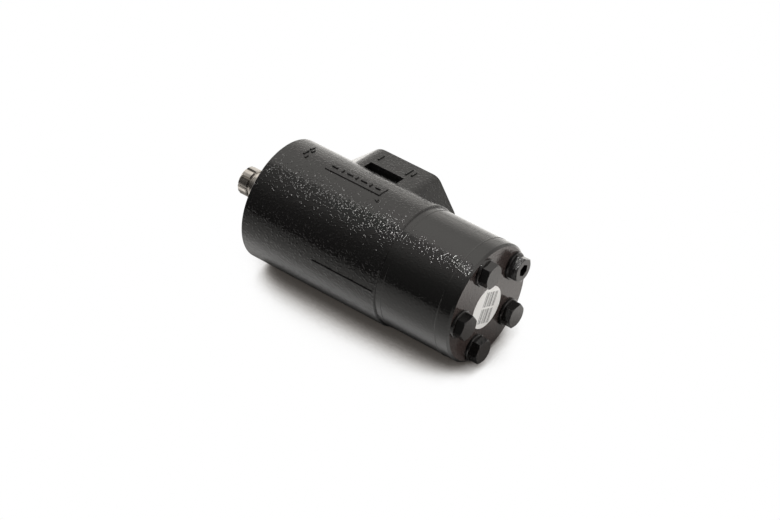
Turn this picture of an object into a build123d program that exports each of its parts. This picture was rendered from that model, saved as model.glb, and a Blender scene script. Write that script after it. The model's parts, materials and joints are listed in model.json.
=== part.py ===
"""Orbital steering unit.

A fluid-linked steering control: the splined shaft turns a valve spool and sleeve, and a
cardan shaft joins the sleeve's pin to a four-toothed rotor that orbits in a five-lobed ring.

Frame, in millimetres: +X runs along the shaft from the mounting face to the end cap, +Z is
up, and the origin is on the shaft axis in the mounting face.  The unit is drawn with its
ports towards +Y, then rolled about the shaft until it lies on its body and on one edge of
its port block, as it does on a flat table.
"""

import os
from math import acos, atan, atan2, cos, degrees, hypot, pi, radians, sin, sqrt, tan

from build123d import *

# ---------------------------------------------------------------- driving dimensions
# Lengths along the shaft
housing_length = 116.2
plate_length = 4.35
ring_length = 45.45
cap_length = 11.1
shaft_reach = 33.5          # shaft end, in front of the mounting face
spline_length = 8.5
spline_relief = 1.8         # groove between the splines and the neck
pilot_height = 3.0
edge_break = 0.8            # chamfer on the pilot and on the body's rear edge
front_edge = 0.3            # chamfer on the body's front edge
cap_edge = 1.6              # chamfer on the end cap

# Outer radii
housing_radius = 45.0
gear_radius = 43.6          # plate, gear ring and end cap
pilot_radius = 28.0

# Fits and play
running_gap = 0.02          # valve members and turning faces
seat_gap = 0.02             # pieces that are fixed together
gear_gap = 0.05             # rotor to ring lobes
bolt_gap = 0.30             # bolts through plain holes

# Port block: w is outwards from the shaft axis, v is across the block
port_rise = 8.6             # port face above the body's radius
block_inset = 8.0           # flank within the body's radius
block_to_joint = 50.7       # block's middle to the body's rear joint
flank_length = 51.0         # the block's flat flank, along the shaft
block_edge = 0.4            # rounding along the machined port face
block_corner = 12.0         # rounding of the front corners
block_rear_corner = 9.0
block_front_slope = 48.0    # degrees from v, of the sloping ends
block_rear_slope = 38.0
block_end_half = 13.7       # half-width of the square ends
pocket_length = 29.0        # hollow under the flank
pocket_lead = 4.0           # its middle, ahead of the block's middle
pocket_height = 34.0

# Ports
port_thread_radius = 8.7    # tapping size of a 3/4-16 straight thread
port_thread_depth = 15.0
port_spot_radius = 13.0
port_spot_depth = 0.6
port_pitch = 28.0           # between ports, along the shaft
port_v = 17.0
drilling_radius = 4.2
gallery_offset = 9.0        # gallery to its port, along the shaft
gallery_width = 8.6
gallery_depth = 3.0
gallery_entry = (16.0, 12.0)    # w and v where a drilling ends in its gallery

# Valve
sleeve_radius = 19.0        # bore in the housing
spool_radius = 14.0         # bore in the sleeve
spool_bore = 10.0
neck_radius = 11.1
valve_end_play = 0.3
spool_swing = 8.0           # degrees each way before the pin stops the spool
pin_radius = 4.0
pin_from_gallery = 8.0      # behind the front gallery
pin_setback = 0.2           # pin ends below the sleeve's surface
groove_half = 1.8           # half-width of the sleeve's grooves
groove_depth = 1.0
feed_hole_radius = 1.6
commutator_to_joint = 16.2
commutator_holes = 8
commutator_hole_radius = 2.1
chamber_hole_radius = 2.8   # from the commutator to the gear set
slot_width = 3.0
slot_depth = 1.5

# Centring springs
spring_place = 7.9          # leaves' middle, behind the valve's front
spring_width = 8.0
spring_stack = 5.0
flat_leaf = 0.6
arched_leaf = 0.4
leaf_play = 0.02            # between leaves, and half of it in a nest
leaf_end_play = 0.4         # leaf ends to the spring ring
spring_ring_wall = 1.0
spring_land = 13.0          # length of the sleeve's reduced front end
spring_ring_start = 2.0
notch_play = 0.2            # springs to the sides of their notches

# Gear set
lobes = 5
lobe_circle = 33.0
lobe_radius = 11.5
eccentricity = 3.2
rotor_side_gap = 0.04
ring_corner = 1.5           # rounding between lobe and bore

# Shaft splines: broad teeth with narrow spaces
spline_teeth = 9
spline_pitch_radius = 9.8
spline_tooth = 5.0          # thickness at the pitch circle
spline_flank = 20.0         # degrees
spline_tip = 10.4
spline_root = 9.1
spline_chamfer = 0.8
spline_turn = 36.6          # degrees, the first tooth at rest

# Cardan shaft
cardan_entry = 1.45         # rotor's front face to its rear spline
cardan_spline_length = 12.0
cardan_teeth = 12           # 16/32 pitch
cardan_pitch_radius = 9.525
cardan_tooth = 2.49
cardan_tooth_flank = 30.0
cardan_tip = 10.32
cardan_root = 8.75
cardan_shank = 6.8
cardan_head = 9.0
cardan_fork = 8.0           # fork ahead of the pin's axis
cardan_head_length = 10.0   # head behind the pin's axis
cardan_taper = 5.0
cardan_nose = 1.5
cardan_flank_play = 0.30
cardan_crown = 0.35
fork_play = 0.05
fork_floor_play = 0.55

# Front bearing and seals
gland_bore = 21.0
gland_length = 11.8
gland_start = 3.25
gland_hole_gap = 0.2
gland_groove_start = 7.0    # O-ring groove outside the gland
gland_groove_width = 2.6
gland_groove_depth = 1.9
lip_start = 6.4             # pressure seal's groove inside the gland
lip_width = 3.2
lip_depth = 3.0
dust_radius = 15.0          # seat of the outer wiper
dust_depth = 4.0
dust_wall = 1.2
ring_groove_depth = 1.5
ring_thickness = 1.6
ring_play = 0.05            # snap ring in its groove, end to end
ring_width = 3.3
ring_opening = 12.0         # degrees, half of the snap ring's gap
ring_eye = 2.2
ring_eye_hole = 1.0
ring_eye_turn = 6.0         # degrees from the gap to an eye
race_thickness = 2.0
race_inner = 11.6
needle_radius = 1.5
needle_length = 6.0
needle_circle = 16.2
needle_count = 14
cage_thickness = 2.2
cage_wall = 0.3             # cage inside the races' edges

# Screws
bolt_inset = 11.6           # screw axis within the gear set's radius
bolt_radius = 5.0
bolt_length = 80.0
bolt_point = 1.0            # chamfer at the tip
bolt_head_across = 16.0
bolt_head_height = 6.4
bolt_head_crown = 0.6
head_turns = (8.0, 1.0, 7.0, 32.0, 9.0)    # degrees, of the heads from lobe to lobe
bolt_hole_end = 3.0         # hole beyond the screw's tip
washer_thickness = 2.0
washer_radius = 10.0
washer_edge = 0.4
socket_across = 8.0
socket_depth = 4.0
mount_inset = 9.5           # hole axis within the body's radius
mount_hole_radius = 3.4     # tapping size of M8
mount_hole_depth = 16.0
mount_holes = 4

# Joint seals
seal_inset = 2.3            # groove within the gear set's radius
seal_groove_width = 2.6
seal_groove_depth = 1.6
seal_play = 0.1             # ring to the groove's sides

# Check valve below the special screw
check_bore = 4.2
check_ball_radius = 3.5
check_lift = 2.0
check_seat_to_bolt = 37.1   # seat's front to the screw's tip
check_seat_length = 8.0
check_seat_hole = 2.0
check_stop_radius = 3.0
check_feed_radius = 2.5

# Cast marks on the body
cast_rise = 0.6
cast_root = 1.0             # how far a mark reaches into the body
pad_length = 47.0
pad_to_joint = 32.2         # pad's rear end to the body's rear joint
pad_angle = (84.0, 97.0)    # degrees from w
parting_length = 52.0
parting_to_joint = 2.2
parting_width = 1.2
parting_rise = 0.45

# ---------------------------------------------------------------- worked-out places
plate_x = housing_length
ring_x = plate_x + plate_length
cap_x = ring_x + ring_length
cap_face = cap_x + cap_length
head_x = cap_face + washer_thickness
bolt_tip = head_x - bolt_length
bolt_circle = gear_radius - bolt_inset
mount_circle = housing_radius - mount_inset
seal_groove_outer = gear_radius - seal_inset
seal_groove_inner = seal_groove_outer - seal_groove_width
check_seat_x = bolt_tip - check_seat_to_bolt
ball_rest = sqrt(check_ball_radius**2 - check_seat_hole**2) + running_gap
ball_x = check_seat_x + check_seat_length + ball_rest

port_face = housing_radius + port_rise
block_half = housing_radius - block_inset
block_middle = housing_length - block_to_joint
flank_front = block_middle - flank_length / 2
flank_rear = block_middle + flank_length / 2
port_x = (block_middle - port_pitch / 2, block_middle + port_pitch / 2)
gallery_x = (
    port_x[0] - gallery_offset,
    port_x[0] + gallery_offset,
    port_x[1] - gallery_offset,
    port_x[1] + gallery_offset,
)
pin_x = gallery_x[0] + pin_from_gallery
commutator_x = housing_length - commutator_to_joint
cardan_rear_x = ring_x + cardan_entry + cardan_spline_length / 2
valley_radius = lobe_circle - lobe_radius + 2 * eccentricity + gear_gap
rotor_teeth = lobes - 1
first_lobe = 180.0          # degrees; the rotor rests towards this lobe
lobe_angles = [first_lobe + 360.0 * i / lobes for i in range(lobes)]
special_lobe = first_lobe + 360.0 * 3 / lobes
chamber_angles = [a + 180.0 / lobes for a in lobe_angles]
chamber_radius = (lobe_circle - lobe_radius + valley_radius) / 2
bolt_shank = bolt_radius - seat_gap

race_front_x = gland_start + gland_length
needle_x = race_front_x + race_thickness + running_gap
race_rear_x = needle_x + 2 * needle_radius + running_gap
valve_front = race_rear_x + race_thickness + running_gap
valve_rear = housing_length - valve_end_play
gland_bore_end = valve_front + 0.8
spring_x = valve_front + spring_place
lip_x = gland_start + lip_start
lip_seat = neck_radius + lip_depth
dust_end = gland_start + dust_depth
gland_groove_x = gland_start + gland_groove_start
gland_groove_floor = gland_bore - gland_groove_depth

tilt = degrees(atan(eccentricity / (cardan_rear_x - pin_x)))
cardan_end = cardan_rear_x + cardan_spline_length / 2 + cardan_nose

# Roll that brings the block's rounded edge down to the level of the body
roll_w = port_face - block_edge
roll_v = block_half - block_edge
roll = degrees(
    atan2(roll_w, roll_v) - acos((housing_radius - block_edge) / hypot(roll_w, roll_v))
)


# ---------------------------------------------------------------- helpers
def across(x=0.0):
    """Plane square to the shaft at x, with its own axes along +Y and +Z."""
    return Plane(origin=(x, 0, 0), x_dir=(0, 1, 0), z_dir=(1, 0, 0))


def polar(radius, angle):
    """Y and Z of a point at a radius and angle round the shaft."""
    return radius * cos(radians(angle)), radius * sin(radians(angle))


def prism(x0, x1, sketch):
    """A sketch in Y and Z, made solid from x0 to x1."""
    return extrude(across(x0) * sketch, amount=x1 - x0)


def rod(x0, x1, radius, centre=(0.0, 0.0)):
    """A round bar along the shaft."""
    return prism(x0, x1, Pos(*centre) * Circle(radius))


def tube(x0, x1, outer, inner):
    """A round tube along the shaft."""
    return prism(x0, x1, Circle(outer) - Circle(inner))


def turned(*points):
    """A solid of revolution from its (x, radius) outline."""
    return revolve(make_face(Polyline(*points, close=True)), Axis.X)


def drill(start, end, radius):
    """A round hole from one point to another."""
    start = Vector(*start)
    run = Vector(*end) - start
    return extrude(Plane(origin=start, z_dir=run) * Circle(radius), amount=run.length)


def spline_outline(count, pitch_radius, thickness, flank, tip, root, play=0.0):
    """Outline of a spline; play widens it all round, for the spline's hole."""
    half = thickness / 2 + play
    slope = tan(radians(flank))
    low, high = root - 1.0, tip + 1.0
    wide = half + slope * (pitch_radius - low)
    narrow = half - slope * (high - pitch_radius)
    tooth = Polygon((low, -wide), (high, -narrow), (high, narrow), (low, wide), align=None)
    outline = Circle(root + play) + PolarLocations(0, count) * tooth
    return outline & Circle(tip + play)


def shaft_spline():
    """Outline of the splines at the shaft's end."""
    outline = spline_outline(
        spline_teeth, spline_pitch_radius, spline_tooth, spline_flank, spline_tip, spline_root
    )
    return Rot(Z=spline_turn) * outline


def cardan_spline(tip, root, play=0.0):
    """Outline of the cardan shaft's splines."""
    form = (cardan_teeth, cardan_pitch_radius, cardan_tooth, cardan_tooth_flank)
    return spline_outline(*form, tip, root, play)


def o_ring(x0, inner, outer, length):
    """A seal squeezed into its groove, with its round section drawn eight-sided."""
    corner = 0.3 * min(outer - inner, length)
    x1 = x0 + length
    return turned(
        (x0, inner + corner),
        (x0, outer - corner),
        (x0 + corner, outer),
        (x1 - corner, outer),
        (x1, outer - corner),
        (x1, inner + corner),
        (x1 - corner, inner),
        (x0 + corner, inner),
    )


# ---------------------------------------------------------------- housing
def port_block():
    """The cast block that carries the ports, before it joins the body."""
    narrowing = block_half - block_end_half
    front = flank_front - narrowing * tan(radians(block_front_slope))
    rear = flank_rear + narrowing * tan(radians(block_rear_slope))
    outline = [
        (flank_rear, block_half),
        (rear, block_end_half),
        (rear, -block_end_half),
        (flank_rear, -block_half),
        (flank_front, -block_half),
        (front, -block_end_half),
        (front, block_end_half),
        (flank_front, block_half),
    ]
    # Drawn in X and v, then stood up along w
    face = Plane(origin=(0, 0, 0), x_dir=(1, 0, 0), z_dir=(0, -1, 0))
    block = extrude(face * make_face(Polyline(*outline, close=True)), amount=-port_face)
    upright = block.edges().filter_by(Axis.Y)
    block = fillet(upright.filter_by(lambda e: e.center().X < block_middle), block_corner)
    upright = block.edges().filter_by(Axis.Y)
    behind = upright.filter_by(lambda e: e.center().X > block_middle + flank_length / 3)
    block = fillet(behind, block_rear_corner)
    block = fillet(block.faces().sort_by(Axis.Y)[-1].edges(), block_edge)
    hollow = Box(pocket_length, pocket_height, 4 * block_half)
    return block - Pos(block_middle - pocket_lead, pocket_height / 2, 0) * hollow


def cast_marks():
    """The raised pad on top and the parting rib on the side away from the ports."""
    pad_end = housing_length - pad_to_joint
    pad = tube(
        pad_end - pad_length, pad_end, housing_radius + cast_rise, housing_radius - cast_root
    )
    reach = 2 * housing_radius
    start, end = pad_angle
    sector = Polygon((0, 0), polar(reach, start), polar(reach, end), align=None)
    wedge = prism(pad_end - pad_length, pad_end, sector)
    rib_end = housing_length - parting_to_joint
    rib_depth = parting_rise + cast_root
    rib_place = Pos(rib_end - parting_length / 2, -housing_radius - parting_rise + rib_depth / 2, 0)
    rib = rib_place * Box(parting_length, rib_depth, parting_width)
    return (pad & wedge), rib


def port_holes():
    """The four tapped ports and the drillings that take them to their galleries."""
    holes = []
    places = [
        (port_x[0], port_v, gallery_x[0]),
        (port_x[0], -port_v, gallery_x[1]),
        (port_x[1], -port_v, gallery_x[2]),
        (port_x[1], port_v, gallery_x[3]),
    ]
    floor = port_face - port_thread_depth
    entry_w, entry_v = gallery_entry
    for x, v, gallery in places:
        mouth = (x, port_face + 1.0, v)
        holes.append(drill((x, port_face - port_spot_depth, v), mouth, port_spot_radius))
        holes.append(drill((x, floor, v), mouth, port_thread_radius))
        side = 1 if v > 0 else -1
        holes.append(drill((x, floor + 0.5, v), (gallery, entry_w, side * entry_v), drilling_radius))
    return holes


def housing():
    """The cast body, with its valve bore, galleries, ports and screw holes."""
    body = turned(
        (-pilot_height, 0),
        (-pilot_height, pilot_radius - edge_break),
        (-pilot_height + edge_break, pilot_radius),
        (0, pilot_radius),
        (0, housing_radius - front_edge),
        (front_edge, housing_radius),
        (housing_length - edge_break, housing_radius),
        (housing_length, housing_radius - edge_break),
        (housing_length, 0),
    )
    body = body + port_block()
    for mark in cast_marks():
        body = body + mark
    cuts = [
        rod(-pilot_height - 1, gland_bore_end, gland_bore),
        rod(0, housing_length + 1, sleeve_radius),
        rod(gland_start - ring_thickness - ring_play, gland_start, gland_bore + ring_groove_depth),
        tube(
            housing_length - seal_groove_depth,
            housing_length + 1,
            seal_groove_outer,
            seal_groove_inner,
        ),
    ]
    for x in gallery_x:
        cuts.append(rod(x - gallery_width / 2, x + gallery_width / 2, sleeve_radius + gallery_depth))
    cuts += port_holes()
    for angle in lobe_angles:
        cuts.append(
            rod(bolt_tip - bolt_hole_end, housing_length + 1, bolt_radius, polar(bolt_circle, angle))
        )
    for angle in chamber_angles:
        start = (housing_length + 1, *polar(chamber_radius, angle))
        end = (commutator_x, *polar(sleeve_radius - 2.0, angle))
        cuts.append(drill(start, end, chamber_hole_radius))
    for i in range(mount_holes):
        place = polar(mount_circle, 45.0 + 360.0 * i / mount_holes)
        cuts.append(rod(-1, mount_hole_depth, mount_hole_radius, place))
    check_place = polar(bolt_circle, special_lobe)
    cuts.append(rod(check_seat_x, bolt_tip, check_bore, check_place))
    cuts.append(rod(gallery_x[0], check_seat_x + 1, check_feed_radius, check_place))
    for cut in cuts:
        body = body - cut
    return body


# ---------------------------------------------------------------- gear end
def bolt_holes(x0, x1):
    """Plain holes for the cap screws."""
    return [rod(x0, x1, bolt_radius + bolt_gap, polar(bolt_circle, a)) for a in lobe_angles]


def spacer_plate():
    """The plate between housing and gear set, with a feed hole for each chamber."""
    plate = rod(plate_x, ring_x, gear_radius)
    plate = plate - rod(plate_x, ring_x, neck_radius)
    for hole in bolt_holes(plate_x, ring_x):
        plate = plate - hole
    for angle in chamber_angles:
        plate = plate - rod(plate_x, ring_x, chamber_hole_radius, polar(chamber_radius, angle))
    return plate


def gear_ring():
    """The fixed outer gear: round lobes that stand in from a round bore."""
    bore = Circle(valley_radius)
    for angle in lobe_angles:
        bore = bore - Pos(*polar(lobe_circle, angle)) * Circle(lobe_radius)
    bore = fillet(bore.vertices(), ring_corner)
    ring = prism(ring_x, cap_x, Circle(gear_radius) - bore)
    for hole in bolt_holes(ring_x, cap_x):
        ring = ring - hole
    ring = ring - tube(ring_x - 1, ring_x + seal_groove_depth, seal_groove_outer, seal_groove_inner)
    return ring - tube(cap_x - seal_groove_depth, cap_x + 1, seal_groove_outer, seal_groove_inner)


def rotor_point(turn):
    """A point of the rotor's flank: the lobes' envelope, drawn in from the lobe centres' path."""
    x = lobe_circle * cos(turn) - eccentricity * cos(lobes * turn)
    y = lobe_circle * sin(turn) - eccentricity * sin(lobes * turn)
    dx = -lobe_circle * sin(turn) + lobes * eccentricity * sin(lobes * turn)
    dy = lobe_circle * cos(turn) - lobes * eccentricity * cos(lobes * turn)
    inset = (lobe_radius + gear_gap) / hypot(dx, dy)
    return x - inset * dy, y + inset * dx


def rotor():
    """The orbiting inner gear, one tooth fewer than the ring has lobes."""
    count = 24 * rotor_teeth
    path = Spline([rotor_point(2 * pi * i / count) for i in range(count)], periodic=True)
    bore = cardan_spline(cardan_tip, cardan_root, cardan_flank_play)
    shape = Rot(Z=first_lobe) * make_face(path) - bore
    centre = polar(eccentricity, first_lobe)
    return prism(ring_x + rotor_side_gap, cap_x - rotor_side_gap, Pos(*centre) * shape)


def end_cap():
    """The plate that closes the gear set."""
    cap = turned(
        (cap_x, 0),
        (cap_x, gear_radius),
        (cap_face - cap_edge, gear_radius),
        (cap_face, gear_radius - cap_edge),
        (cap_face, 0),
    )
    for hole in bolt_holes(cap_x, cap_face):
        cap = cap - hole
    return cap


def cap_screw():
    """One cap screw on the shaft axis: hexagon head, crowned end and plain shank."""
    top = head_x + bolt_head_height
    head = prism(head_x, top, RegularPolygon(bolt_head_across / 2, 6, major_radius=False))
    corner = bolt_head_across / 2 / cos(radians(30))
    cone = turned(
        (head_x, 0),
        (head_x, corner),
        (top - bolt_head_crown, corner),
        (top, bolt_head_across / 2),
        (top, 0),
    )
    shank = turned(
        (bolt_tip, 0),
        (bolt_tip, bolt_shank - bolt_point),
        (bolt_tip + bolt_point, bolt_shank),
        (head_x, bolt_shank),
        (head_x, 0),
    )
    return (head & cone) + shank


def at_lobe(piece, angle, turn=0.0):
    """A piece made on the shaft axis, set at a screw's place."""
    return Pos(0, *polar(bolt_circle, angle)) * Rot(X=turn) * piece


def cap_bolts():
    """The four plain cap screws."""
    screw = cap_screw()
    plain = [(a, t) for a, t in zip(lobe_angles, head_turns) if a != special_lobe]
    return [at_lobe(screw, angle, turn) for angle, turn in plain]


def special_bolt():
    """The screw over the check valve, with a hexagon socket in its head."""
    top = head_x + bolt_head_height
    hexagon = RegularPolygon(socket_across / 2, 6, major_radius=False)
    screw = cap_screw() - prism(top - socket_depth, top + 1, hexagon)
    return at_lobe(screw, special_lobe, head_turns[lobe_angles.index(special_lobe)])


def cap_washers():
    """A sealing washer under each screw head."""
    hole = bolt_radius + bolt_gap
    washer = turned(
        (cap_face, hole),
        (cap_face, washer_radius),
        (head_x - washer_edge, washer_radius),
        (head_x, washer_radius - washer_edge),
        (head_x, hole),
    )
    return [at_lobe(washer, a) for a in lobe_angles]


def joint_seal(x0):
    """An O-ring in one of the face grooves."""
    inner = seal_groove_inner + seal_play
    return o_ring(x0, inner, seal_groove_outer - seal_play, seal_groove_depth)


# ---------------------------------------------------------------- check valve
def check_seat():
    """The threaded bush that the check ball closes."""
    seat = tube(check_seat_x, check_seat_x + check_seat_length, check_bore - seat_gap, check_seat_hole)
    return at_lobe(seat, special_lobe)


def check_ball():
    """The check ball on its seat."""
    return at_lobe(Pos(ball_x, 0, 0) * Sphere(check_ball_radius), special_lobe)


def ball_stop():
    """The pin between the ball's chamber and the tip of the special screw."""
    start = ball_x + check_ball_radius + check_lift + notch_play / 2
    return at_lobe(rod(start, bolt_tip - seat_gap, check_stop_radius), special_lobe)


# ---------------------------------------------------------------- valve
def drill_round(x, radius, count, first, reach, depth):
    """Round holes in towards the shaft axis, spaced round it."""
    holes = []
    for i in range(count):
        angle = first + 360.0 * i / count
        holes.append(drill((x, *polar(depth, angle)), (x, *polar(reach, angle)), radius))
    return holes


def spring_notch():
    """The slot across sleeve and spool that the centring springs lie in."""
    width = spring_width + 2 * notch_play
    return Pos(spring_x, 0, 0) * Box(width, spring_stack + notch_play / 2, 4 * sleeve_radius)


def sleeve():
    """The outer valve member, with its grooves, feed holes, pin holes and spring notches."""
    outer = sleeve_radius - running_gap
    land = outer - spring_ring_wall - seat_gap
    land_end = valve_front + spring_land
    body = turned(
        (valve_front, spool_radius),
        (valve_front, land),
        (land_end, land),
        (land_end, outer),
        (valve_rear, outer),
        (valve_rear, spool_radius),
    )
    reach = outer + 1
    depth = spool_radius - 1
    cuts = [
        tube(x - groove_half, x + groove_half, reach, outer - groove_depth) for x in gallery_x[1:]
    ]
    cuts += drill_round(commutator_x, commutator_hole_radius, commutator_holes, 0.0, reach, depth)
    cuts += drill_round(gallery_x[3], feed_hole_radius, 4, 45.0, reach, depth)
    cuts += drill_round(gallery_x[2], feed_hole_radius, 2, 0.0, reach, depth)
    cuts += drill_round(gallery_x[1], feed_hole_radius, 2, 45.0, reach, depth)
    cuts += drill_round(pin_x, pin_radius, 2, 90.0, reach, depth)
    cuts.append(spring_notch())
    for cut in cuts:
        body = body - cut
    return body


def spool():
    """The inner valve member and the splined input shaft, in one piece."""
    outer = spool_radius - running_gap
    shoulder = valve_front
    front = -shaft_reach
    spline_end = front + spline_length
    neck = spline_end + spline_relief
    body = turned(
        (spline_end - 0.1, 0),
        (spline_end - 0.1, spline_root),
        (neck, spline_root),
        (neck, neck_radius - spline_chamfer),
        (neck + spline_chamfer, neck_radius),
        (shoulder, neck_radius),
        (shoulder, outer),
        (valve_rear, outer),
        (valve_rear, 0),
    )
    stub = turned(
        (front, 0),
        (front, spline_tip - spline_chamfer),
        (front + spline_chamfer, spline_tip),
        (spline_end - spline_chamfer, spline_tip),
        (spline_end, spline_tip - spline_chamfer),
        (spline_end, 0),
    )
    teeth = prism(front, spline_end, shaft_spline()) & stub
    body = body + teeth
    reach = outer + 1
    swing = outer * sin(radians(spool_swing)) + 0.1
    cuts = [rod(shoulder + 1.5, valve_rear + 1, spool_bore)]
    cuts += drill_round(pin_x, pin_radius + swing, 2, 90.0, reach, 5.0)
    slot_length = commutator_x - gallery_x[3] + 2 * commutator_hole_radius
    slot = Box(slot_length, slot_depth + 1, slot_width)
    slot_place = Pos((gallery_x[3] + commutator_x) / 2, outer + 0.5 - slot_depth / 2, 0)
    for i in range(commutator_holes):
        cuts.append(Rot(X=360.0 * (i + 0.5) / commutator_holes) * slot_place * slot)
    cuts.append(spring_notch())
    for cut in cuts:
        body = body - cut
    return body


def cross_pin():
    """The pin that turns the sleeve and the cardan shaft together."""
    end = sqrt((sleeve_radius - pin_setback) ** 2 - pin_radius**2)
    shape = Pos(pin_x, 0, 0) * Cylinder(pin_radius - seat_gap / 2, 2 * end)
    return chamfer(shape.edges().filter_by(GeomType.CIRCLE), 0.4)


def leaf_span():
    """Half the length of a spring leaf, inside the spring ring."""
    return sleeve_radius - running_gap - spring_ring_wall - leaf_end_play


def flat_springs():
    """The two flat leaves at the outside of the stack."""
    leaf = Box(spring_width, flat_leaf, 2 * leaf_span())
    place = spring_stack / 2 - flat_leaf / 2
    return [Pos(spring_x, side * place, 0) * leaf for side in (1, -1)]


def arched_springs():
    """Two nested pairs of arched leaves, back to back between the flat ones."""
    half = leaf_span()
    ends = spring_stack / 2 - flat_leaf - leaf_play
    leaves = []
    for side in (1, -1):
        for layer in (0, 1):
            middle = leaf_play + layer * (arched_leaf + leaf_play / 2)
            end = ends - (2 - layer) * arched_leaf - (1 - layer) * leaf_play / 2
            inner = ThreePointArc((end, -half), (middle, 0), (end, half))
            outer = ThreePointArc(
                (end + arched_leaf, half), (middle + arched_leaf, 0), (end + arched_leaf, -half)
            )
            top = Line((end, half), (end + arched_leaf, half))
            foot = Line((end + arched_leaf, -half), (end, -half))
            face = make_face([inner, top, outer, foot])
            leaf = prism(spring_x - spring_width / 2, spring_x + spring_width / 2, face)
            leaves.append(leaf if side > 0 else Rot(X=180) * leaf)
    return leaves


def spring_ring():
    """The ring round the sleeve that keeps the leaves in."""
    outer = sleeve_radius - running_gap
    start = valve_front + spring_ring_start
    return tube(start, valve_front + spring_land, outer, outer - spring_ring_wall)


# ---------------------------------------------------------------- cardan shaft
def drive_shaft():
    """The cardan shaft: a fork over the pin, a shank and a crowned spline in the rotor."""
    front = pin_x - cardan_fork
    neck = pin_x + cardan_head_length
    spline_start = cardan_rear_x - cardan_spline_length / 2
    spline_stop = cardan_rear_x + cardan_spline_length / 2
    crown = cardan_tip - 0.1
    low = crown - cardan_crown
    barrel = revolve(
        make_face(
            [
                Line((spline_start, 0), (spline_start, low)),
                ThreePointArc((spline_start, low), (cardan_rear_x, crown), (spline_stop, low)),
                Line((spline_stop, low), (spline_stop, 0)),
                Line((spline_stop, 0), (spline_start, 0)),
            ]
        ),
        Axis.X,
    )
    root = cardan_root - cardan_flank_play
    teeth = prism(spline_start, spline_stop, cardan_spline(cardan_tip, root)) & barrel
    shank = turned(
        (front, 0),
        (front, cardan_head - 1.0),
        (front + 1.0, cardan_head),
        (neck, cardan_head),
        (neck + cardan_taper, cardan_shank),
        (spline_start - 2.0, cardan_shank),
        (spline_start, root - 0.5),
        (spline_stop + 0.5, root - 0.5),
        (cardan_end, root - 2.5),
        (cardan_end, 0),
    )
    body = shank + teeth
    floor = pin_x + pin_radius + fork_floor_play
    depth = floor - front + 1
    gap = Pos(front - 1 + depth / 2, 0, 0) * Box(depth, 2 * (pin_radius + fork_play), 4 * cardan_head)
    body = body - gap
    # Rest the rear end towards the first lobe, about the pin
    swing = Pos(pin_x, 0, 0) * Rot(Z=tilt) * Pos(-pin_x, 0, 0)
    return Rot(X=first_lobe) * swing * Rot(X=-first_lobe) * body


def drive_spacer():
    """The loose pad behind the cardan shaft that keeps it home."""
    start = cardan_end + 0.4
    end = cap_x - 0.2
    radius = cardan_root - 0.35
    pad = turned(
        (start, 0),
        (start, radius - 1.5),
        (start + 1.5, radius),
        (end - 1.0, radius),
        (end, radius - 1.0),
        (end, 0),
    )
    return Pos(0, *polar(eccentricity, first_lobe)) * pad


# ---------------------------------------------------------------- front bearing and seals
def race(x0):
    """A washer of the thrust bearing."""
    return tube(x0, x0 + race_thickness, gland_bore - 0.15, race_inner)


def needle_angles():
    """Places of the needles round the shaft."""
    return [360.0 * i / needle_count for i in range(needle_count)]


def thrust_needles():
    """The needles, each lying along a radius."""
    x = needle_x + needle_radius
    low, high = needle_circle - needle_length / 2, needle_circle + needle_length / 2
    size = needle_radius - running_gap / 2
    return [drill((x, *polar(low, a)), (x, *polar(high, a)), size) for a in needle_angles()]


def needle_cage():
    """The cage that spaces the needles."""
    x = needle_x + needle_radius
    outer, inner = gland_bore - 2 * cage_wall, race_inner + cage_wall
    cage = tube(x - cage_thickness / 2, x + cage_thickness / 2, outer, inner)
    width = 2 * needle_radius + 0.1
    pocket = Pos(x, needle_circle, 0) * Box(2 * cage_thickness, needle_length + 0.2, width)
    for angle in needle_angles():
        cage = cage - Rot(X=angle) * pocket
    return cage


def gland_bushing():
    """The bush that carries the front seals."""
    outer = gland_bore - seat_gap
    hole = neck_radius + gland_hole_gap
    end = gland_start + gland_length
    bush = turned(
        (gland_start, dust_radius),
        (gland_start, outer),
        (end, outer),
        (end, hole),
        (dust_end, hole),
        (dust_end, dust_radius),
    )
    groove_end = gland_groove_x + gland_groove_width
    bush = bush - tube(gland_groove_x, groove_end, outer + 1, gland_groove_floor)
    return bush - rod(lip_x, lip_x + lip_width, lip_seat)


def dust_seal():
    """The outer wiper, with its lip turned forwards."""
    start = gland_start + dust_wall / 6
    outer = dust_radius - seat_gap
    lip = neck_radius + running_gap
    return turned(
        (start, outer - dust_wall),
        (start, outer),
        (dust_end, outer),
        (dust_end, lip + dust_wall),
        (dust_end - dust_wall, lip + 0.8 * dust_wall),
        (start + 0.6 * dust_wall, lip),
        (start, lip + dust_wall / 6),
        (start + dust_wall, lip + 1.2 * dust_wall),
        (dust_end - 1.2 * dust_wall, outer - dust_wall),
    )


def shaft_seal():
    """The pressure seal that runs on the spool's neck."""
    return o_ring(lip_x, neck_radius + running_gap, lip_seat, lip_width)


def gland_seal():
    """The O-ring outside the gland."""
    width = gland_groove_width - 2 * seal_play
    return o_ring(gland_groove_x + seal_play, gland_groove_floor, gland_bore, width)


def retaining_ring():
    """The open snap ring in front of the gland, with its two plier eyes."""
    outer = gland_bore + ring_groove_depth - seal_play
    inner = outer - ring_width
    reach = 2 * outer
    start, end = 90 - ring_opening, 90 + ring_opening
    opening = Polygon((0, 0), polar(reach, start), polar(reach, end), align=None)
    shape = Circle(outer) - Circle(inner) - opening
    eyes = [Pos(*polar(inner, a)) for a in (start - ring_eye_turn, end + ring_eye_turn)]
    for place in eyes:
        shape = shape + place * Circle(ring_eye)
    for place in eyes:
        shape = shape - place * Circle(ring_eye_hole)
    return prism(gland_start - ring_thickness - seat_gap, gland_start - seat_gap, shape)


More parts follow.
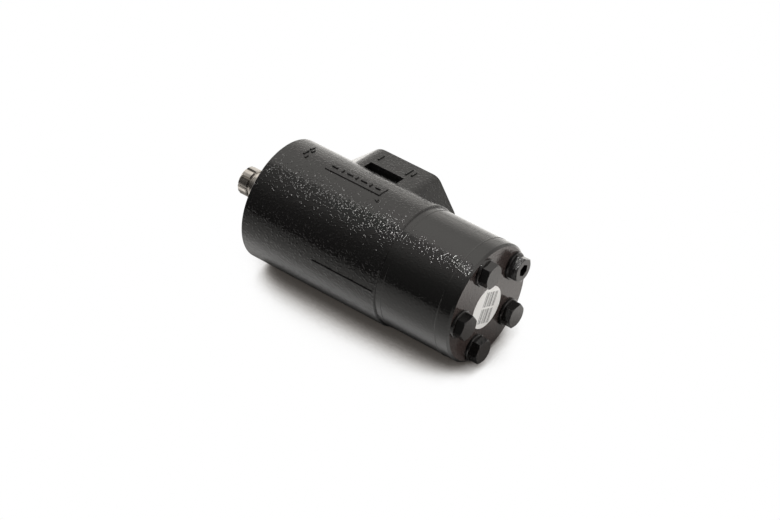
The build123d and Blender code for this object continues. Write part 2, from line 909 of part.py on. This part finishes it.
# ---------------------------------------------------------------- write the pieces
pieces = {
    "housing": housing,
    "spacer_plate": spacer_plate,
    "gear_ring": gear_ring,
    "rotor": rotor,
    "end_cap": end_cap,
    "cap_bolts": cap_bolts,
    "special_bolt": special_bolt,
    "cap_washers": cap_washers,
    "housing_seal": lambda: joint_seal(plate_x - seal_groove_depth),
    "plate_seal": lambda: joint_seal(ring_x),
    "cap_seal": lambda: joint_seal(cap_x - seal_groove_depth),
    "check_seat": check_seat,
    "check_ball": check_ball,
    "ball_stop": ball_stop,
    "sleeve": sleeve,
    "spool": spool,
    "cross_pin": cross_pin,
    "flat_springs": flat_springs,
    "arched_springs": arched_springs,
    "spring_ring": spring_ring,
    "drive_shaft": drive_shaft,
    "drive_spacer": drive_spacer,
    "front_race": lambda: race(race_front_x),
    "rear_race": lambda: race(race_rear_x),
    "needle_cage": needle_cage,
    "thrust_needles": thrust_needles,
    "gland_bushing": gland_bushing,
    "dust_seal": dust_seal,
    "shaft_seal": shaft_seal,
    "gland_seal": gland_seal,
    "retaining_ring": retaining_ring,
}

os.makedirs("parts", exist_ok=True)
for name, make in pieces.items():
    made = make()
    solids = made if isinstance(made, list) else [made]
    laid = [Rot(X=-roll) * solid for solid in solids]
    shape = laid[0] if len(laid) == 1 else Compound(children=laid)
    export_step(shape, f"parts/{name}.step")
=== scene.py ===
"""Looks of the orbital steering unit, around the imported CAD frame. Lengths are in metres."""
import json
import math

import bmesh
import bpy
from mathutils import Matrix, Vector


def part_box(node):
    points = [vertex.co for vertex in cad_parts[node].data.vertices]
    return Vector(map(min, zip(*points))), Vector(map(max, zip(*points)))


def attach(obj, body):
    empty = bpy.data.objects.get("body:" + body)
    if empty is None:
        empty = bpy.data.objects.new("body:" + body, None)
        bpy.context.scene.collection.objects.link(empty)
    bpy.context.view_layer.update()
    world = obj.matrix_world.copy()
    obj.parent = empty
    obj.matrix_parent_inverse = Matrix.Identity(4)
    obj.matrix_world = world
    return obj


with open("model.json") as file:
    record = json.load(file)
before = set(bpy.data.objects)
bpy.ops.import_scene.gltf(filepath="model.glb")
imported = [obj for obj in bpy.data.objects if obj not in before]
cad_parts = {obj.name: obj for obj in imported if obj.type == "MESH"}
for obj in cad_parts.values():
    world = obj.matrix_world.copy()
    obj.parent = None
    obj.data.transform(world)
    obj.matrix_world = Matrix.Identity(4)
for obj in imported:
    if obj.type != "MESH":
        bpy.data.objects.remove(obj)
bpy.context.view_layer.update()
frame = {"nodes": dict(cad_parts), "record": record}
nodes = frame["nodes"]

# ------------------------------------------------------------------ sizes taken from the frame
MM = 0.001
TABLE_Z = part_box("housing")[0].z
BODY_R = -TABLE_Z
BODY_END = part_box("housing")[1].x
CAP_FACE_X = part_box("end_cap")[1].x
MIDDLE = Vector((2 * BODY_R, 0, 0))     # on the shaft axis, about halfway along the body


def port_axis():
    """The way the ports face, which gives the roll of the cast body about its shaft."""
    for mount in frame["record"]["mounts"]:
        if mount["name"] == "tank_port":
            return Vector(mount["axis"]).normalized()
    raise ValueError("no tank port in the record")


AXIS = Vector((1, 0, 0))
OUT = port_axis()               # from the shaft to the port face
ACROSS = AXIS.cross(OUT)        # square to both, to the block's upper side


def on_body(x, out, across):
    """A place given along the shaft, towards the ports and across the block."""
    return AXIS * x + OUT * out + ACROSS * across


def radial(x, degrees, radius):
    """A place on a cylinder about the shaft, and the way out from it."""
    turn = math.radians(degrees)
    up = Vector((0, math.cos(turn), math.sin(turn)))
    return AXIS * x + up * radius, up


# ------------------------------------------------------------------ camera
AZIMUTH = math.radians(-51.87)      # of the camera round the unit, from +X
ELEVATION = math.radians(41.31)
DISTANCE = 41.08 * BODY_R
SIDEWAYS = 0.0796 * BODY_R          # shifts that put the unit where the photograph has it
UPWARDS = -0.137 * BODY_R
LENS = 125.2                        # focal length and sensor, in millimetres
SENSOR = 36.0
FARTHEST = 50.0                     # that the camera sees


def add_camera():
    """A long lens at the photograph's angle."""
    back = Vector((
        math.cos(ELEVATION) * math.cos(AZIMUTH),
        math.cos(ELEVATION) * math.sin(AZIMUTH),
        math.sin(ELEVATION),
    ))
    right = Vector((-math.sin(AZIMUTH), math.cos(AZIMUTH), 0))
    up = back.cross(right)
    data = bpy.data.cameras.new("camera")
    data.lens = LENS
    data.sensor_width = SENSOR
    data.clip_end = FARTHEST
    camera = bpy.data.objects.new("camera", data)
    bpy.context.scene.collection.objects.link(camera)
    place = MIDDLE + back * DISTANCE + right * SIDEWAYS + up * UPWARDS
    camera.matrix_world = Matrix((
        (right.x, up.x, back.x, place.x),
        (right.y, up.y, back.y, place.y),
        (right.z, up.z, back.z, place.z),
        (0, 0, 0, 1),
    ))
    bpy.context.scene.camera = camera


# ------------------------------------------------------------------ node helpers
class Graph:
    """A node tree with short calls for adding and joining nodes."""

    def __init__(self, tree):
        self.tree = tree
        tree.nodes.clear()

    def add(self, kind, settings=None, **inputs):
        """A new node. An underscore in an input's name stands for a space."""
        node = self.tree.nodes.new(kind)
        for name, value in (settings or {}).items():
            setattr(node, name, value)
        for name, value in inputs.items():
            self.put(node.inputs[name.replace("_", " ")], value)
        return node

    def put(self, socket, value):
        """Joins a socket to an output, or sets it."""
        if isinstance(value, bpy.types.NodeSocket):
            self.tree.links.new(value, socket)
        else:
            socket.default_value = value

    def math(self, operation, a, b=0.0, c=0.0, clamp=False):
        """The result of one sum."""
        node = self.add("ShaderNodeMath", {"operation": operation, "use_clamp": clamp})
        for socket, value in zip(node.inputs, (a, b, c)):
            self.put(socket, value)
        return node.outputs[0]

    def ramp(self, value, stops, ease="LINEAR"):
        """A grey level or colour for a value, from stops of a place and a level or colour."""
        node = self.add("ShaderNodeValToRGB")
        node.color_ramp.interpolation = ease
        ramp = node.color_ramp.elements
        while len(ramp) < len(stops):
            ramp.new(0.5)
        for element, (place, level) in zip(ramp, stops):
            element.position = place
            element.color = level if isinstance(level, tuple) else (level, level, level, 1)
        self.put(node.inputs[0], value)
        return node.outputs[0]

    def by_ray(self, to_others, to_camera):
        """One shader for what the camera sees, and another for all other rays."""
        seen = self.add("ShaderNodeLightPath").outputs["Is Camera Ray"]
        mix = self.add("ShaderNodeMixShader")
        for socket, value in zip(mix.inputs, (seen, to_others, to_camera)):
            self.put(socket, value)
        return mix.outputs[0]


# ------------------------------------------------------------------ studio
WHITE = (1, 1, 1, 1)
WARM_WHITE = (1.0, 0.968, 0.92, 1)

# Light round the unit's axis: degrees from +Y towards +Z, and level. These levels and the
# table's were chosen so that the paint comes out as bright as in the photograph.
ROOM = (
    (-178, 0.10),
    (-120, 0.45),
    (-60, 1.3),
    (0, 1.35),
    (32, 1.0),
    (50, 1.4),
    (66, 1.6),
    (82, 1.6),
    (86, 0.55),
    (112, 0.50),
    (128, 0.24),
    (144, 0.10),
    (176, 0.05),
)

TABLE_SIZE = 6.0            # from the middle to each edge
TABLE_GAP = 0.05 * MM       # between the housing and the table
# Table that the paint mirrors: metres from the shaft axis along Y, and level. The first table is
# white with painted shade, darker away from the unit on its -Y side, and a painted shadow under
# it. The second is a painted pool of light on the table beside the unit.
TABLE_REACH = 0.5
TABLE_WHITE_AND_PAINTED_SHADE = (
    (-0.45, 0.35),
    (-0.22, 0.45),
    (-0.142, 0.54),
    (-0.092, 0.71),
    (-0.06, 0.86),
    (-0.040, 0.6),
    (-0.028, 0.2),
    (0.01, 0.2),
    (0.05, 0.86),
)
TABLE_GLOW = (
    (-0.090, 0.0),
    (-0.066, 0.8),
    (-0.052, 1.0),
    (-0.038, 0.2),
    (-0.030, 0.0),
)
TABLE_GLOW_LEVEL = 0.45

# Table that the camera sees: how open it is to the room, and its colour there. The levels
# follow the fall-off of the photograph's contact shadow.
SHADOW = (
    (0.24, (0.035, 0.031, 0.027, 1)),
    (0.30, (0.075, 0.068, 0.062, 1)),
    (0.36, (0.168, 0.157, 0.147, 1)),
    (0.405, (0.28, 0.268, 0.255, 1)),
    (0.44, (0.47, 0.455, 0.44, 1)),
    (0.48, (0.61, 0.60, 0.59, 1)),
    (0.52, (0.78, 0.77, 0.76, 1)),
    (0.56, (0.92, 0.915, 0.91, 1)),
    (0.63, WHITE),
)
SHADOW_REACH = 0.4          # how far off a thing still closes the table in
SHADOW_SAMPLES = 16

LAMP_TINT = (1, 0.985, 0.96)
SOFTBOX_AT = (0.35, 0.75, 1.15)
SOFTBOX_SIZE = 0.9
SOFTBOX_POWER = 5.0
OVERHEAD_AT = (-0.08, -0.085, 0.98)     # a small light, for glints on pebbles and edges
OVERHEAD_SIZE = 0.2
OVERHEAD_POWER = 5.5


def add_world():
    """Plain white to the camera, and ROOM's levels round the shaft axis to all other rays."""
    world = bpy.data.worlds.new("studio")
    bpy.context.scene.world = world
    world.use_nodes = True
    g = Graph(world.node_tree)
    way = g.add("ShaderNodeTexCoord").outputs["Generated"]
    split = g.add("ShaderNodeSeparateXYZ", Vector=way)
    turn = g.math("ARCTAN2", split.outputs["Z"], split.outputs["Y"])
    share = g.math("MULTIPLY_ADD", turn, 1 / (2 * math.pi), 0.5)
    peak = max(level for _, level in ROOM)
    stops = [(0.5 + degrees / 360.0, level / peak) for degrees, level in ROOM]
    level = g.ramp(share, stops)
    tint = g.add("ShaderNodeMix", {"data_type": "RGBA", "blend_type": "MULTIPLY"})
    tint.inputs["Factor"].default_value = 1.0
    g.put(tint.inputs["A"], level)
    tint.inputs["B"].default_value = WARM_WHITE
    room = g.add("ShaderNodeBackground", Color=tint.outputs["Result"], Strength=peak)
    plain = g.add("ShaderNodeBackground", Color=WHITE, Strength=1.0)
    g.add("ShaderNodeOutputWorld", Surface=g.by_ray(room.outputs[0], plain.outputs[0]))


def add_floor():
    """The table: white with a painted contact shadow to the camera, and to the unit a light from
    below, with painted shade and a painted glow.
    """
    mesh = bpy.data.meshes.new("floor")
    signs = ((-1, -1), (1, -1), (1, 1), (-1, 1))
    corners = [(x * TABLE_SIZE, y * TABLE_SIZE, TABLE_Z - TABLE_GAP) for x, y in signs]
    mesh.from_pydata(corners, [], [(0, 1, 2, 3)])
    floor = bpy.data.objects.new("floor", mesh)
    bpy.context.scene.collection.objects.link(floor)
    material = bpy.data.materials.new("floor_white_and_painted_shade")
    material.use_nodes = True
    g = Graph(material.node_tree)
    where = g.add("ShaderNodeTexCoord").outputs["Object"]
    side = g.add("ShaderNodeSeparateXYZ", Vector=where).outputs["Y"]
    share = g.math("MULTIPLY_ADD", side, 0.5 / TABLE_REACH, 0.5, clamp=True)

    def along_y(levels):
        """Levels at places along Y, within the table's reach."""
        return g.ramp(share, [(0.5 + 0.5 * y / TABLE_REACH, level) for y, level in levels])

    # painted shade and shadow on the white table, and a painted pool of light beside the unit
    white = g.add("ShaderNodeBsdfDiffuse", Color=along_y(TABLE_WHITE_AND_PAINTED_SHADE))
    glow = g.add("ShaderNodeEmission", Color=along_y(TABLE_GLOW), Strength=TABLE_GLOW_LEVEL)
    table = g.add("ShaderNodeAddShader")
    g.put(table.inputs[0], white.outputs[0])
    g.put(table.inputs[1], glow.outputs[0])
    samples = {"samples": SHADOW_SAMPLES}
    opening = g.add("ShaderNodeAmbientOcclusion", samples, Distance=SHADOW_REACH)
    page = g.add("ShaderNodeEmission", Color=g.ramp(opening.outputs["AO"], SHADOW), Strength=1.0)
    g.add("ShaderNodeOutputMaterial", Surface=g.by_ray(table.outputs[0], page.outputs[0]))
    mesh.materials.append(material)


def add_lamp(name, place, size, power, mirrored):
    """A square soft light on the unit's middle, which the paint mirrors or not."""
    data = bpy.data.lights.new(name, "AREA")
    data.shape = "SQUARE"
    data.size = size
    data.energy = power
    data.color = LAMP_TINT
    lamp = bpy.data.objects.new(name, data)
    bpy.context.scene.collection.objects.link(lamp)
    lamp.location = place
    lamp.rotation_euler = (MIDDLE - Vector(place)).to_track_quat("-Z", "Y").to_euler()
    lamp.visible_glossy = mirrored


add_camera()
add_world()
add_floor()
add_lamp("softbox", SOFTBOX_AT, SOFTBOX_SIZE, SOFTBOX_POWER, mirrored=False)
add_lamp("overhead", OVERHEAD_AT, OVERHEAD_SIZE, OVERHEAD_POWER, mirrored=True)
view = bpy.context.scene.view_settings
view.view_transform = "Standard"

# ------------------------------------------------------------------ materials
# Noise scales, in features for each metre
PIMPLES = 620.0
SWELLS = 330.0
SPRAY = 900.0
GLOSS_CLOUDS = 90.0
STEEL_CLOUDS = 400.0
TURNED_LINES = 9000.0
STAINS = 260.0
RUBBER_GRAIN = 1500.0
PAPER_FIBRES = 1200.0

PIMPLE_FOOT, PIMPLE_TOP = 0.5, 0.72     # noise levels between which a pimple rises
SWELL_SHARE = 0.8                       # height of a swell to that of a pimple
SIDE_UP_TO, FACE_FROM = 0.9, 0.97       # how squarely a surface faces along the shaft, where painted light on faces fades in
LINE_STRETCH = 0.04                     # scale of turned lines across the shaft to along it
STAIN_SHADE = 0.72                      # brightness of a stain to that of clean steel
STAINED, CLEAN = 0.35, 0.6              # noise levels of stained and of clean steel
SMOOTHEST, ROUGHEST = 0.8, 1.4          # steel's roughness, as shares of its middle value


def principled(name, base, rough, metal=0.0):
    """A plain principled material, its graph and its shader node."""
    material = bpy.data.materials.new(name)
    material.use_nodes = True
    g = Graph(material.node_tree)
    shader = g.add("ShaderNodeBsdfPrincipled", Base_Color=(*base, 1), Roughness=rough, Metallic=metal)
    g.add("ShaderNodeOutputMaterial", Surface=shader.outputs[0])
    return material, g, shader


def bump(g, height, distance, under=None):
    """A bumped normal, over another one where it is given."""
    node = g.add("ShaderNodeBump", Height=height, Strength=1.0, Distance=distance)
    if under is not None:
        g.put(node.inputs["Normal"], under)
    return node.outputs["Normal"]


def spread(g, shader, low, high, scale, where):
    """Lets the roughness wander between two values."""
    cloud = g.add("ShaderNodeTexNoise", Vector=where, Scale=scale, Detail=3.0)
    g.put(shader.inputs["Roughness"], g.math("MULTIPLY_ADD", cloud.outputs["Fac"], high - low, low))


def paint(name, base, rough, pebble, peel, gloss, face=None):
    """Gloss paint over a skin of pebbles and a spray's peel, so many metres high.

    Rough is its lowest and highest roughness. A face colour, where there is one, is painted light:
    a lighter colour on what faces along the shaft.
    """
    low, high = rough
    material, g, shader = principled(name, base, low)
    where = g.add("ShaderNodeTexCoord").outputs["Object"]
    spread(g, shader, low, high, GLOSS_CLOUDS, where)
    pebbles = g.add("ShaderNodeTexNoise", Vector=where, Scale=PIMPLES, Detail=1.0)
    pimples = g.ramp(pebbles.outputs["Fac"], [(PIMPLE_FOOT, 0.0), (PIMPLE_TOP, 1.0)], "EASE")
    swells = g.add("ShaderNodeTexNoise", Vector=where, Scale=SWELLS, Detail=2.0)
    sprayed = g.add("ShaderNodeTexNoise", Vector=where, Scale=SPRAY, Detail=1.0)
    swollen = bump(g, swells.outputs["Fac"], SWELL_SHARE * pebble + peel)
    pebbled = bump(g, pimples, pebble, swollen)
    g.put(shader.inputs["Normal"], bump(g, sprayed.outputs["Fac"], peel, pebbled))
    g.put(shader.inputs["Specular IOR Level"], gloss)
    # painted light: a lighter colour where the surface faces along the shaft
    if face:
        normal = g.add("ShaderNodeTexCoord").outputs["Normal"]
        along = g.add("ShaderNodeSeparateXYZ", Vector=normal).outputs["X"]
        colour = g.ramp(along, [(SIDE_UP_TO, (*base, 1)), (FACE_FROM, (*face, 1))])
        g.put(shader.inputs["Base Color"], colour)
    return material


def metal(name, base, rough, groove):
    """Turned steel, with fine grooves round the shaft's axis and slight stains."""
    material, g, shader = principled(name, base, rough, 1.0)
    where = g.add("ShaderNodeTexCoord").outputs["Object"]
    along = g.add("ShaderNodeMapping", Vector=where, Scale=(1.0, LINE_STRETCH, LINE_STRETCH))
    lines = g.add("ShaderNodeTexNoise", Vector=along.outputs[0], Scale=TURNED_LINES, Detail=2.0)
    stains = g.add("ShaderNodeTexNoise", Vector=where, Scale=STAINS, Detail=4.0)
    dark = tuple(STAIN_SHADE * c for c in base)
    shade = g.ramp(stains.outputs["Fac"], [(STAINED, (*dark, 1)), (CLEAN, (*base, 1))])
    g.put(shader.inputs["Base Color"], shade)
    spread(g, shader, SMOOTHEST * rough, ROUGHEST * rough, STEEL_CLOUDS, where)
    g.put(shader.inputs["Normal"], bump(g, lines.outputs["Fac"], groove))
    return material


def grained(name, base, rough, scale, detail, height):
    """A dull material with a fine grain, so many metres high."""
    material, g, shader = principled(name, base, rough)
    where = g.add("ShaderNodeTexCoord").outputs["Object"]
    grain = g.add("ShaderNodeTexNoise", Vector=where, Scale=scale, Detail=detail)
    g.put(shader.inputs["Normal"], bump(g, grain.outputs["Fac"], height))
    return material


BLACK = (0.006, 0.006, 0.006)
# Lighter colours for faces along the shaft: painted light on the screw heads and the cap
HEAD_FACE_PAINTED_LIGHT = (0.030, 0.027, 0.026)
CAP_FACE_PAINTED_LIGHT = (0.045, 0.034, 0.032)

# Materials for the record's slots
MADE = {
    "cast_paint": paint("cast_paint", BLACK, (0.06, 0.11), 0.13 * MM, 0.02 * MM, 0.42),
    "smooth_paint": paint("smooth_paint", BLACK, (0.08, 0.14), 0.05 * MM, 0.015 * MM, 0.5),
    # black paint, with painted light on the screw heads' faces
    "screw_paint": paint("screw_paint", BLACK, (0.10, 0.18), 0.025 * MM, 0.015 * MM, 0.4, HEAD_FACE_PAINTED_LIGHT),
    "shaft_steel": metal("shaft_steel", (0.49, 0.46, 0.425), 0.20, 0.01 * MM),
    "ground_steel": metal("ground_steel", (0.60, 0.59, 0.57), 0.18, 0.004 * MM),
    "spring_steel": metal("spring_steel", (0.33, 0.33, 0.35), 0.3, 0.006 * MM),
    "seal_rubber": grained("seal_rubber", (0.02, 0.02, 0.02), 0.6, RUBBER_GRAIN, 2.0, 0.02 * MM),
}
# black paint, with painted light on the cap's face
CAP_PAINT_AND_FACE_LIGHT = paint("cap_paint_and_face_light", BLACK, (0.10, 0.18), 0.04 * MM, 0.015 * MM, 0.5, CAP_FACE_PAINTED_LIGHT)
RUN_PAINT = paint("run_paint", BLACK, (0.05, 0.09), 0.0, 0.004 * MM, 0.6)
PAPER = grained("label_paper", (0.90, 0.90, 0.90), 0.38, PAPER_FIBRES, 3.0, 0.015 * MM)
INK = principled("label_ink", (0.10, 0.10, 0.105), 0.5)[0]

for entry in frame["record"]["subparts"]:
    node = nodes[entry["node"]]
    for slot in node.material_slots:
        slot.material = MADE[entry["material_slot"]]
for slot in nodes["end_cap"].material_slots:
    slot.material = CAP_PAINT_AND_FACE_LIGHT


# ------------------------------------------------------------------ added pieces
def add_piece(name, bm, material):
    """A mesh piece that rides on the casing."""
    bmesh.ops.recalc_face_normals(bm, faces=bm.faces)
    mesh = bpy.data.meshes.new(name)
    bm.to_mesh(mesh)
    bm.free()
    mesh.materials.append(material)
    piece = bpy.data.objects.new(name, mesh)
    bpy.context.scene.collection.objects.link(piece)
    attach(piece, "casing")
    return piece


def bar(bm, middle, along, up, length, width, height, sink, edge):
    """A raised bar, its foot sunk in the face that it stands on, with edges rounded so far."""
    side = up.cross(along).normalized()
    made = bmesh.ops.create_cube(bm, size=1.0)
    tall = height + sink
    stretch = Matrix((
        (along.x * length, side.x * width, up.x * tall, 0),
        (along.y * length, side.y * width, up.y * tall, 0),
        (along.z * length, side.z * width, up.z * tall, 0),
        (0, 0, 0, 1),
    ))
    stretch.translation = middle + up * (height - sink) / 2
    bmesh.ops.transform(bm, matrix=stretch, verts=made["verts"])
    if edge:
        edges = dict.fromkeys(e for v in made["verts"] for e in v.link_edges)
        bmesh.ops.bevel(bm, geom=list(edges), offset=edge, segments=2, affect="EDGES")


def join_rings(bm, ring, other):
    """Faces between two rings that have as many vertices."""
    for k in range(len(ring)):
        after = (k + 1) % len(ring)
        bm.faces.new((ring[k], ring[after], other[after], other[k]))


LABEL_R = 15.8 * MM
LABEL_THICK = 0.12 * MM
LABEL_EDGE = 0.05 * MM                  # how far its top stays inside its foot
LABEL_SIDES = 96
LABEL_AT = (-0.95 * MM, -2.4 * MM)      # its middle from the shaft axis, in Y and Z
LABEL_TURN = math.radians(62)           # of its bars, about the shaft axis

# Its bars lie in two blocks, side by side
INK_STARTS = (-12.0 * MM, 0.5 * MM)     # of each block, along its bars, from the label's middle
INK_LENGTH = 11.0 * MM
INK_FIRST = -8.5 * MM                   # of a block's first bar, across the bars
INK_WIDTHS = (0.5, 0.9, 0.4, 1.2, 0.5, 0.8, 0.4, 1.0, 0.6)      # a generic rhythm, in mm
INK_GAP = 0.7 * MM                      # the narrowest, in a round of three
INK_GAP_STEP = 0.3 * MM
INK_THICK = 0.02 * MM                   # above the paper, and as much below its top


def add_label():
    """A round paper label."""
    bm = bmesh.new()
    rings = []
    for depth, radius in ((0, LABEL_R), (LABEL_THICK, LABEL_R - LABEL_EDGE)):
        ring = []
        for k in range(LABEL_SIDES):
            turn = 2 * math.pi * k / LABEL_SIDES
            out = Vector((depth, radius * math.cos(turn), radius * math.sin(turn)))
            ring.append(bm.verts.new(Vector((CAP_FACE_X, *LABEL_AT)) + out))
        bm.faces.new(ring)
        rings.append(ring)
    join_rings(bm, *rings)
    add_piece("round_label", bm, PAPER)


def add_label_bars():
    """Generic bars in place of the label's print."""
    bm = bmesh.new()
    row = Vector((0, math.cos(LABEL_TURN), math.sin(LABEL_TURN)))
    column = AXIS.cross(row)
    top = Vector((CAP_FACE_X + LABEL_THICK, *LABEL_AT))
    for start in INK_STARTS:
        down = INK_FIRST
        for k, width in enumerate(w * MM for w in INK_WIDTHS):
            middle = top + row * (start + INK_LENGTH / 2) + column * (down + width / 2)
            bar(bm, middle, row, AXIS, INK_LENGTH, width, INK_THICK, INK_THICK, 0)
            down += width + INK_GAP + INK_GAP_STEP * (k % 3)
    add_piece("label_bars", bm, INK)


# Faces of the casting that the added pieces stand on
PAD_RISE = 0.6 * MM         # of the pad over the body
RIB_RISE = 0.45 * MM        # of the parting rib over the body
BLOCK_SIDE = 37.0 * MM      # from the shaft axis to the block's upper side

CAST_RISE = 0.75 * MM       # raised marks on the casting, here plain bars
CAST_SINK = 0.5 * MM
CAST_EDGE = 0.15 * MM

# Along the shaft and length, in mm. Every other bar lies across the shaft.
PAD_BARS = ((42, 5.0), (49, 3.2), (55, 5.0), (61, 3.2), (67, 5.0), (73, 3.2), (79, 4.0))
PAD_BAR_TURN = 81.5         # degrees round the shaft, from +Y towards +Z
PAD_BAR_WIDTH = 1.1 * MM
# Along the shaft in mm, degrees round it, and length in mm
FRONT_BARS = ((15.0, 70.0, 5.5), (18.0, 74.0, 4.0), (15.5, 80.0, 6.0), (19.0, 85.0, 3.5))
FRONT_BAR_WIDTH = 1.2 * MM
# Along the shaft, out towards the ports, and length, in mm
BLOCK_BARS = ((48.5, 43.5, 7.0), (73.5, 43.0, 9.0), (77.5, 43.0, 6.0))
BLOCK_BAR_WIDTH = 1.3 * MM

NIB_X = 86 * MM             # a small triangle, apart from the bars
NIB_TURN = 94.5
NIB_FOOT_R = 1.9 * MM
NIB_TOP_R = 1.3 * MM

FLASH_LENGTH = 51.0 * MM    # a thin flash of iron on the parting rib's crest
FLASH_MIDDLE = BODY_END - 28.2 * MM
FLASH_TURN = 170.5
FLASH_WIDTH = 0.5 * MM
FLASH_RISE = 0.4 * MM
FLASH_SINK = 0.2 * MM
FLASH_EDGE = 0.08 * MM

BEAD_R = 0.45 * MM          # paint that has run into a seam
BEAD_SUNK = 0.15 * MM
BEAD_SIDES = 10
BEAD_STEPS = 180


def cast_bar(bm, place, along, up, length, width):
    """A raised bar with the height, foot and edges of the casting's marks."""
    bar(bm, place, along, up, length, width, CAST_RISE, CAST_SINK, CAST_EDGE)


def add_nib(bm):
    """A small raised triangle."""
    tall = CAST_RISE + CAST_SINK
    nib = bmesh.ops.create_cone(
        bm, cap_ends=True, segments=3, radius1=NIB_FOOT_R, radius2=NIB_TOP_R, depth=tall)
    place, up = radial(NIB_X, NIB_TURN, BODY_R + CAST_RISE / 2)
    turn = up.to_track_quat("Z", "X").to_matrix().to_4x4()
    bmesh.ops.transform(bm, matrix=Matrix.Translation(place) @ turn, verts=nib["verts"])


def add_cast_bars():
    """Generic raised bars and a triangle where a foundry puts its marks."""
    bm = bmesh.new()
    for k, (x, length) in enumerate(PAD_BARS):
        place, up = radial(x * MM, PAD_BAR_TURN, BODY_R + PAD_RISE)
        along = up.cross(AXIS) if k % 2 else AXIS
        cast_bar(bm, place, along, up, length * MM, PAD_BAR_WIDTH)
    for x, degrees, length in FRONT_BARS:
        place, up = radial(x * MM, degrees, BODY_R)
        cast_bar(bm, place, up.cross(AXIS), up, length * MM, FRONT_BAR_WIDTH)
    for x, out, length in BLOCK_BARS:
        place = on_body(x * MM, out * MM, BLOCK_SIDE)
        cast_bar(bm, place, OUT, ACROSS, length * MM, BLOCK_BAR_WIDTH)
    add_nib(bm)
    add_piece("cast_bars", bm, MADE["cast_paint"])


def add_parting_flash():
    """A thin line of iron along the crest of the parting rib."""
    bm = bmesh.new()
    place, up = radial(FLASH_MIDDLE, FLASH_TURN, BODY_R + RIB_RISE)
    bar(bm, place, AXIS, up, FLASH_LENGTH, FLASH_WIDTH, FLASH_RISE, FLASH_SINK, FLASH_EDGE)
    add_piece("parting_flash", bm, RUN_PAINT)


def add_paint_beads():
    """Paint that has filled the seams between housing, plate, ring and cap."""
    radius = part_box("gear_ring")[1].z
    seams = (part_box("spacer_plate")[0].x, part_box("gear_ring")[0].x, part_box("end_cap")[0].x)
    bm = bmesh.new()
    for x in seams:
        rings = []
        for j in range(BEAD_SIDES):
            turn = 2 * math.pi * j / BEAD_SIDES
            out = radius - BEAD_SUNK + BEAD_R * math.cos(turn)
            ring = []
            for k in range(BEAD_STEPS):
                place, _ = radial(x + BEAD_R * math.sin(turn), 360.0 * k / BEAD_STEPS, out)
                ring.append(bm.verts.new(place))
            rings.append(ring)
        for j, ring in enumerate(rings):
            join_rings(bm, ring, rings[(j + 1) % BEAD_SIDES])
    piece = add_piece("seam_paint", bm, RUN_PAINT)
    piece.data.shade_smooth()


add_label()
add_label_bars()
add_cast_bars()
add_parting_flash()
add_paint_beads()
